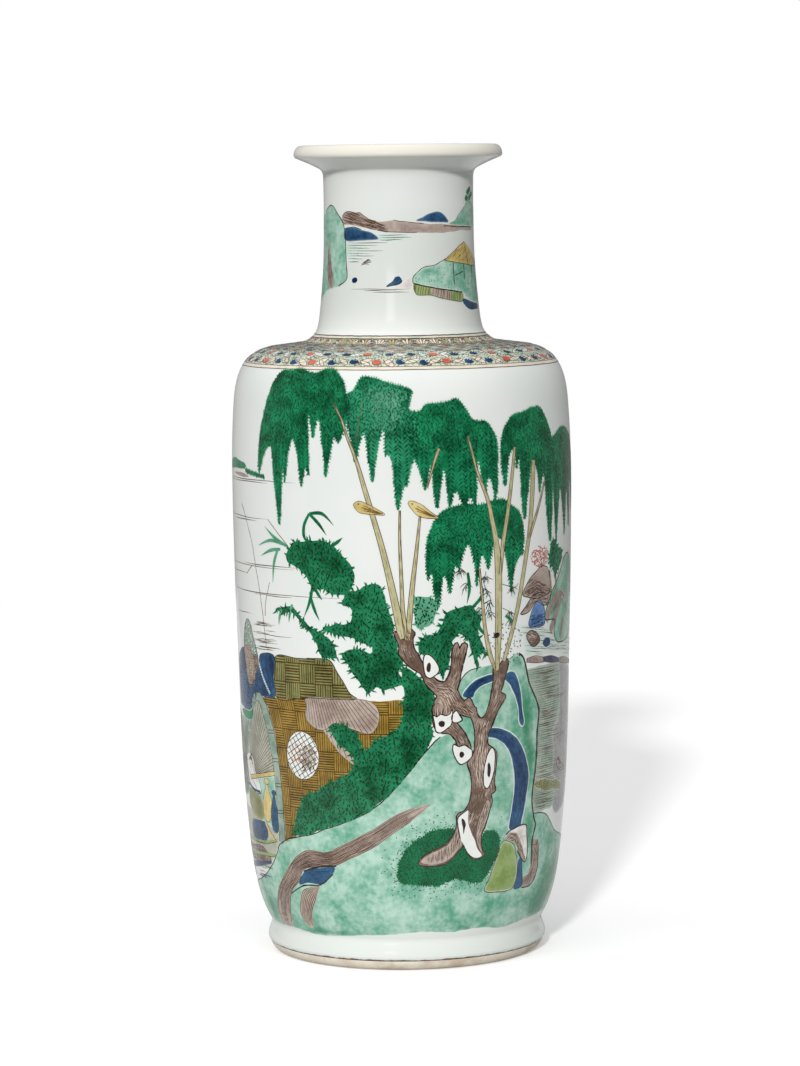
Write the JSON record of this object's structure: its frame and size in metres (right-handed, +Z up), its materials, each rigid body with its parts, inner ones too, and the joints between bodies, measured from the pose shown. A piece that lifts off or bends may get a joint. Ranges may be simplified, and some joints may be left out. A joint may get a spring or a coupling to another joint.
{
  "type": "rouleau vase",
  "caption": "Tall porcelain rouleau vase with a club-shaped body, flat shoulder, straight neck and dished flanged mouth, painted in translucent enamels with a willow river landscape.",
  "frame": {"origin": "centre of the foot face that the vase stands on", "axes": "+Z up along the axis of the vase, -Y towards the front that the picture shows, +X to the right in the picture"},
  "size_m": [0.192, 0.192, 0.455],
  "materials": {
    "biscuit": "bare fired porcelain, matt",
    "slip": "fired slip, matt",
    "glaze": "clear glaze over white porcelain, glossy",
    "enamel": "translucent overglaze enamel, glossy"
  },
  "bodies": {
    "root": {"base_section": "biscuit", "lower_body": "biscuit", "upper_body": "biscuit", "shoulder": "biscuit", "neck": "biscuit", "mouth_rim": "biscuit", "base_seam": "slip", "body_seam": "slip", "shoulder_seam": "slip", "neck_seam": "slip", "mouth_seam": "slip", "outer_glaze": "glaze", "inner_glaze": "glaze", "base_glaze": "glaze", "shoulder_border": "enamel"}
  },
  "joints": []
}
